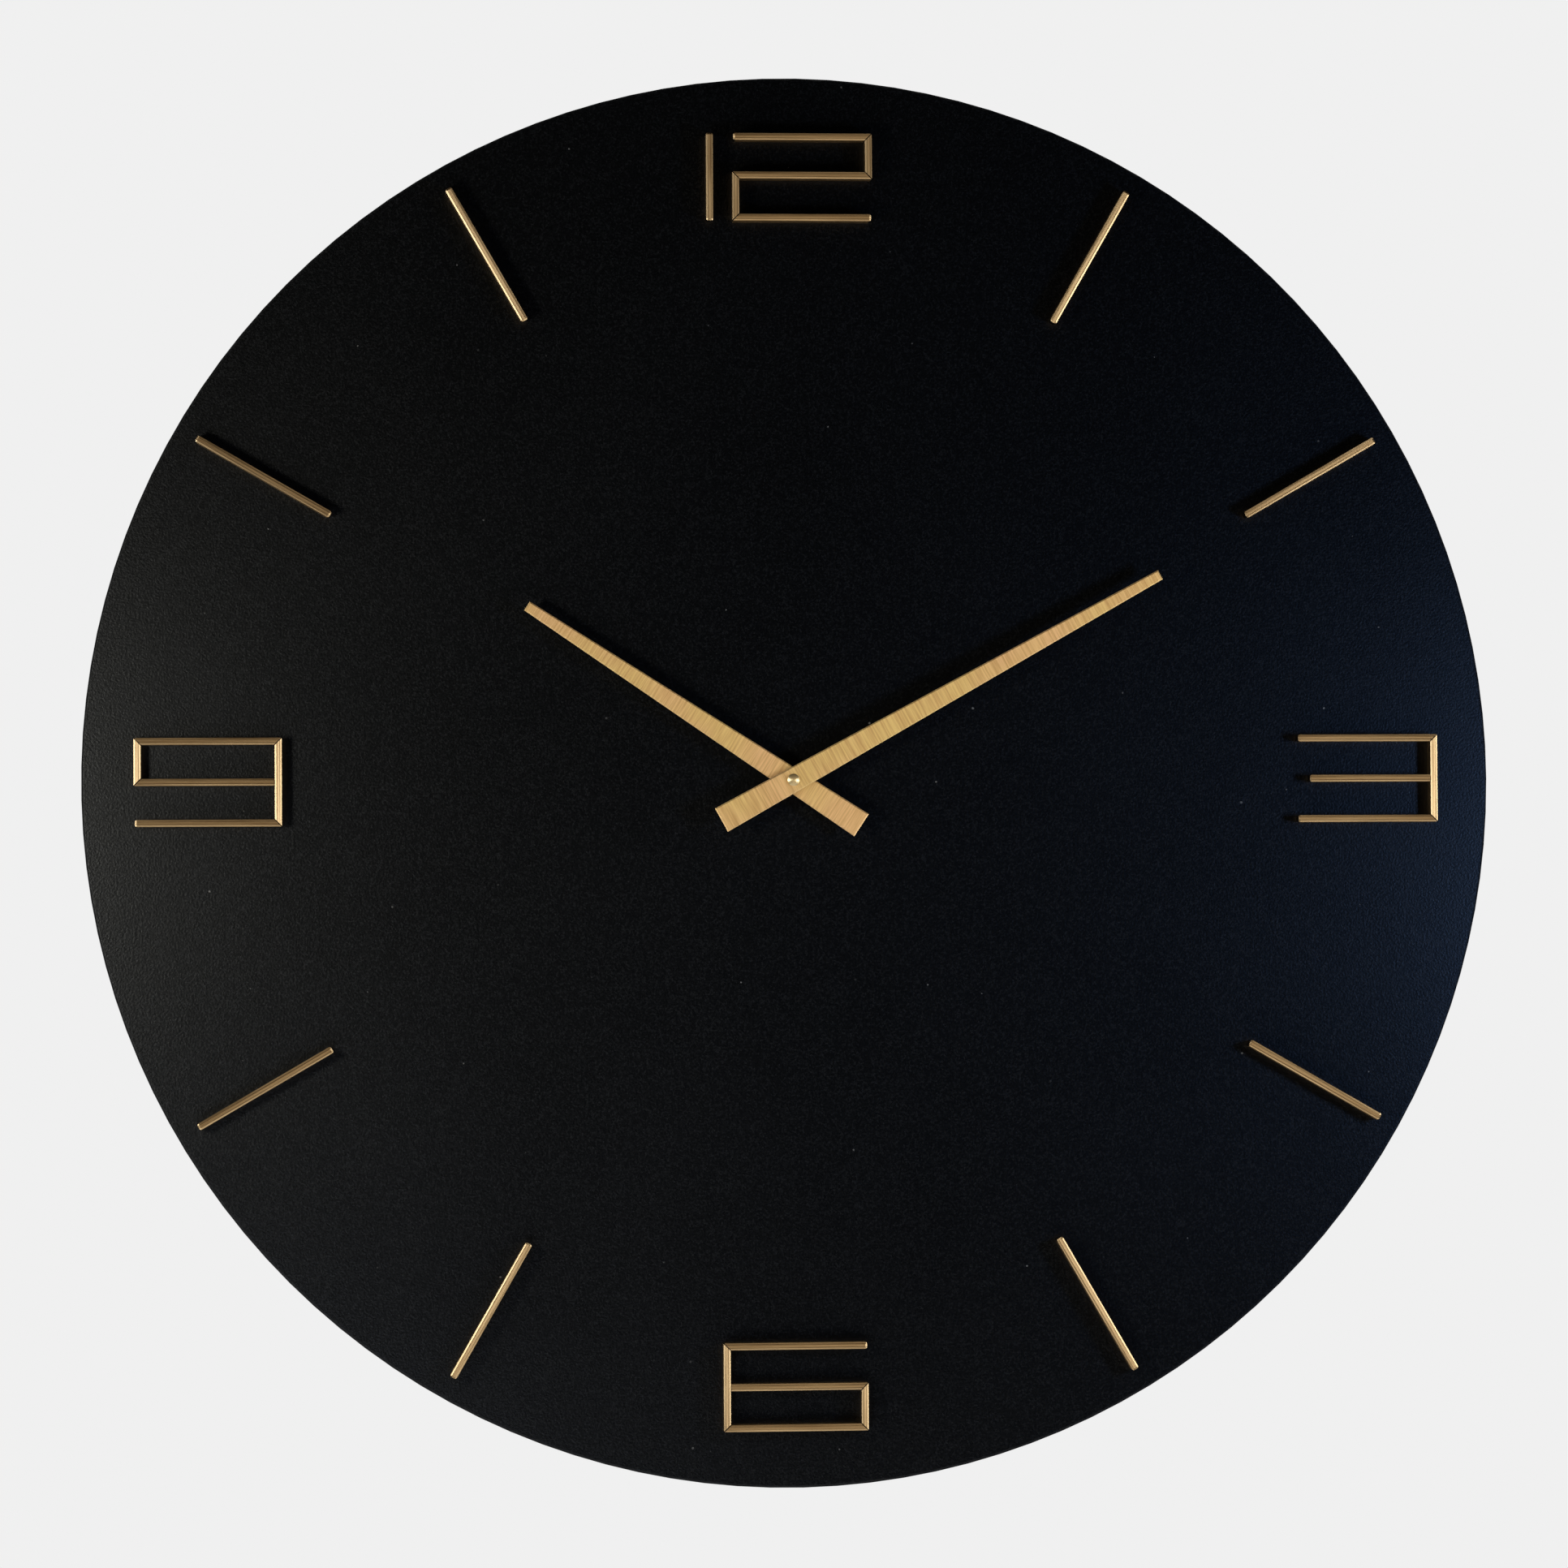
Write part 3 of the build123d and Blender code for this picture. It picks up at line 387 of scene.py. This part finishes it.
def hand_gold(name, direction):
    """Gold hand brushed across its width, with a few deeper lines."""
    material, tree, shader = start(name)
    lines = streaks(tree, direction, hand_line_spacing, hand_line_length)
    deep = streaks(tree, direction, hand_deep_spacing, hand_deep_length)
    cloud = noise(tree, place(tree), hand_cloud_scale)
    fine_tone = span(tree, lines, *hand_line_range, 0.0, hand_line_share)
    deep_tone = span(tree, deep, *hand_deep_range, 0.0, 1 - hand_line_share)
    tone = compute(tree, "ADD", fine_tone, deep_tone)
    tint = blend(tree, span(tree, cloud, *hand_cloud_range, 0.0, 1.0), gold_light, gold_yellow)
    feed(tree, shader, "Base Color", blend(tree, tone, gold_dark, tint))
    shader.inputs["Metallic"].default_value = 1.0
    feed(tree, shader, "Roughness", span(tree, lines, *noise_range, *hand_roughness))
    spread_along(tree, shader, square_to(direction), hand_highlight_spread)
    bump(tree, shader, lines, hand_line_height)
    return material


def nut_brass():
    """Brass turned on a lathe: fine rings round the hand axis."""
    material, tree, shader = start("nut_brass")
    split = add(tree, "SeparateXYZ", {0: place(tree)}).outputs
    outward = add(tree, "CombineXYZ", {0: split[0], 2: split[2]}).outputs[0]
    radius = add(tree, "CombineXYZ", {0: length(tree, outward)}).outputs[0]
    rings = noise(tree, radius, nut_ring_scale)
    tone = span(tree, rings, *noise_range, 0.0, 1.0)
    feed(tree, shader, "Base Color", blend(tree, tone, nut_dark, nut_light))
    shader.inputs["Metallic"].default_value = 1.0
    feed(tree, shader, "Roughness", span(tree, rings, *noise_range, *nut_roughness))
    spread_along(tree, shader, outward, nut_highlight_spread)
    return material


def battery_sleeve():
    """A printed sleeve in two plain tones, with bare steel at both ends."""
    material, tree, shader = start("battery_sleeve")
    low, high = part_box("battery")
    run = along_axis(tree, Vector((1, 0, 0)))
    from_left = compute(tree, "SUBTRACT", run, low.x)
    from_right = compute(tree, "SUBTRACT", high.x, run)
    from_end = compute(tree, "MINIMUM", from_left, from_right)
    bare = compute(tree, "LESS_THAN", from_end, battery_bare_end)
    banded = compute(tree, "LESS_THAN", from_left, (high.x - low.x) * battery_band_share)
    wear = noise(tree, place(tree), sleeve_wear_scale, fine_detail)
    colour = blend(tree, banded, sleeve_blue, sleeve_silver)
    scuffed = span(tree, wear, *sleeve_wear_range, 0.0, sleeve_wear_most)
    colour = blend(tree, scuffed, colour, sleeve_scuff)
    feed(tree, shader, "Base Color", blend(tree, bare, colour, bare_steel))
    metal = compute(tree, "MAXIMUM", bare, span(tree, banded, 0.0, 1.0, *sleeve_metal))
    feed(tree, shader, "Metallic", metal)
    feed(tree, shader, "Roughness", span(tree, wear, *noise_range, *sleeve_roughness))
    return material


def plain(name, light, dark, scale, roughness, metallic):
    """A moulded, cast or plated surface: two close tones and a fine grain."""
    material, tree, shader = start(name)
    point = place(tree)
    grain = noise(tree, point, scale, fine_detail, fine_roughness)
    patches = noise(tree, point, scale / patch_ratio)
    mean = compute(tree, "DIVIDE", compute(tree, "ADD", grain, patches), 2)
    tone = span(tree, mean, *plain_tone_range, 0.0, 1.0)
    feed(tree, shader, "Base Color", blend(tree, tone, dark, light))
    shader.inputs["Metallic"].default_value = metallic
    smoothest = roughness - plain_roughness_change
    dullest = roughness + plain_roughness_change
    feed(tree, shader, "Roughness", span(tree, grain, *noise_range, smoothest, dullest))
    bump(tree, shader, grain, plain_grain_height)
    return material


def grey(level, warm=0.0):
    """A grey of that lightness, slightly warm where that is asked for."""
    return (level * (1 + warm), level, level * (1 - warm), 1)


# Each plain finish: light tone, dark tone, scale of its grain, roughness, share of metal
plain_finishes = {
    "ring_lacquer": (grey(0.022), grey(0.012), 900.0, 0.6, 0.0),
    "turned_brass": (brass_light, brass_dark, 1500.0, 0.3, 1.0),
    "hanger_steel": (grey(0.66, 0.02), grey(0.5, 0.03), 800.0, 0.36, 1.0),
    "screw_steel": (grey(0.64, 0.05), grey(0.46, 0.06), 1500.0, 0.32, 1.0),
    "case_plastic": (grey(0.03), grey(0.02), 2600.0, 0.52, 0.0),
    "cover_plastic": (grey(0.034), grey(0.024), 2600.0, 0.5, 0.0),
    "knob_plastic": (knob_red, knob_dark, 2600.0, 0.42, 0.0),
    "gear_plastic": (grey(0.82, 0.02), grey(0.72, 0.03), 2000.0, 0.4, 0.0),
    "gasket_rubber": (grey(0.022), grey(0.014), 2600.0, 0.75, 0.0),
    "magnet": (grey(0.12), grey(0.07), 2600.0, 0.5, 0.6),
    "stator_iron": (grey(0.5), grey(0.38), 1800.0, 0.35, 1.0),
    "copper_wire": (copper_light, copper_dark, 3000.0, 0.3, 1.0),
    "board": (board_green, board_dark, 1500.0, 0.35, 0.0),
    "crystal_can": (grey(0.74), grey(0.62), 2000.0, 0.25, 1.0),
    "contact_metal": (grey(0.78, 0.02), grey(0.64, 0.03), 2000.0, 0.28, 1.0),
    "floor_paint": (grey(0.82), grey(0.8), 40.0, 0.7, 0.0),
}
finishes = {name: plain(name, *values) for name, values in plain_finishes.items()}
finishes["dial_lacquer"] = dial_lacquer()
finishes["nut_brass"] = nut_brass()
finishes["battery_sleeve"] = battery_sleeve()


def middle_of(name):
    """The middle of a piece."""
    low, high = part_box(name)
    return (low + high) / 2


def strip_direction(name):
    """The way a strip runs: towards the hand axis for a marker, else along its longer side."""
    if name.startswith("marker"):
        middle = middle_of(name)
        return Vector((middle.x, 0, middle.z)).normalized()
    low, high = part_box(name)
    size = high - low
    return Vector((1, 0, 0)) if size.x > size.z else Vector((0, 0, 1))


def finish_of(name):
    """The finish of a piece. Each strip and hand has its own, because its lines follow its direction."""
    slot = slot_of[name]
    if slot == "strip_brass":
        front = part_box(name)[0].y
        return strip_brass(f"strip_brass_{name}", strip_direction(name), middle_of(name), front)
    if slot == "hand_gold":
        return hand_gold(f"hand_gold_{name}", square_to(middle_of(name)).normalized())
    return finishes[slot]


for name, piece in nodes.items():
    piece.data.materials.clear()
    piece.data.materials.append(finish_of(name))


def pale_floor():
    """A round floor well below the clock."""
    bpy.ops.mesh.primitive_circle_add(
        vertices=floor_sides, radius=floor_radius, fill_type="NGON", location=(0, 0, -floor_drop)
    )
    floor = bpy.context.object
    floor.name = "floor"
    floor.data.materials.append(finishes["floor_paint"])
    return floor


def soft_box(name, where, size, colour, power, receivers):
    """A soft box turned to the middle of the panel, that lights the pieces given."""
    light = bpy.data.lights.new(name, "AREA")
    light.shape = "RECTANGLE"
    light.size, light.size_y = size
    light.color = colour
    light.energy = power
    lamp = bpy.data.objects.new(name, light)
    bpy.context.scene.collection.objects.link(lamp)
    lamp.location = where
    lamp.rotation_euler = (panel_middle - where).to_track_quat("-Z", "Y").to_euler()
    lamp.visible_camera = False
    lit = bpy.data.collections.new(f"lit_by_{name}")
    for piece in receivers:
        lit.objects.link(piece)
    lamp.light_linking.receiver_collection = lit


panel = [nodes["dial_panel"]]
others = [piece for piece in nodes.values() if piece not in panel] + [pale_floor()]
soft_box("panel_left", panel_left_place, panel_box_size, warm_white, panel_left_power, panel)
soft_box("panel_right", panel_right_place, panel_box_size, cool_white, panel_right_power, panel)
soft_box("panel_low", panel_low_place, panel_low_size, pale_blue, panel_low_power, panel)
soft_box("brass_left", brass_left_place, brass_box_size, day_white, brass_left_power, others)
soft_box("brass_right", brass_right_place, brass_box_size, day_white, brass_right_power, others)
soft_box("brass_front", brass_front_place, brass_front_size, lamp_yellow, brass_front_power, others)
soft_box("brass_fill", brass_fill_place, brass_fill_size, lamp_yellow, brass_fill_power, others)


def studio_world():
    """Pale ground behind the clock, a dim room in front of it, even light for matt surfaces."""
    world = bpy.data.worlds.new("studio")
    bpy.context.scene.world = world
    world.use_nodes = True
    tree = world.node_tree
    tree.nodes.clear()
    path = add(tree, "LightPath", {}).outputs
    direction = add(tree, "TexCoord", {}).outputs["Generated"]
    depth = add(tree, "SeparateXYZ", {0: direction}).outputs[1]
    mirrored_level = span(tree, depth, *room_edge, room_level, ground_level)
    matt_level = span(tree, depth, *ambient_edge, ambient_level, ground_level)
    reflected = add(tree, "Background", {"Color": white, "Strength": mirrored_level})
    ambient = add(tree, "Background", {"Color": white, "Strength": matt_level})
    ground = add(tree, "Background", {"Color": white, "Strength": ground_level})
    mirrored = compute(tree, "MAXIMUM", path["Is Glossy Ray"], path["Is Transmission Ray"])
    lit = add(tree, "MixShader", {0: mirrored, 1: ambient.outputs[0], 2: reflected.outputs[0]})
    seen = add(tree, "MixShader", {0: path["Is Camera Ray"], 1: lit.outputs[0], 2: ground.outputs[0]})
    add(tree, "OutputWorld", {"Surface": seen.outputs[0]})


def photo_camera():
    """The camera at the photograph's place, angle and focal length."""
    camera = bpy.data.objects.new("camera", bpy.data.cameras.new("camera"))
    bpy.context.scene.collection.objects.link(camera)
    camera.data.sensor_width = sensor_width_in_millimetres
    camera.data.lens = focal_length_in_pixels / photo_side_in_pixels * sensor_width_in_millimetres
    camera.location = camera_place
    aim = (camera_target - camera_place).to_track_quat("-Z", "Y")
    camera.rotation_mode = "QUATERNION"
    camera.rotation_quaternion = aim @ Quaternion((0, 0, 1), camera_roll)
    bpy.context.scene.camera = camera


studio_world()
photo_camera()

bpy.context.scene.view_settings.view_transform = "Standard"
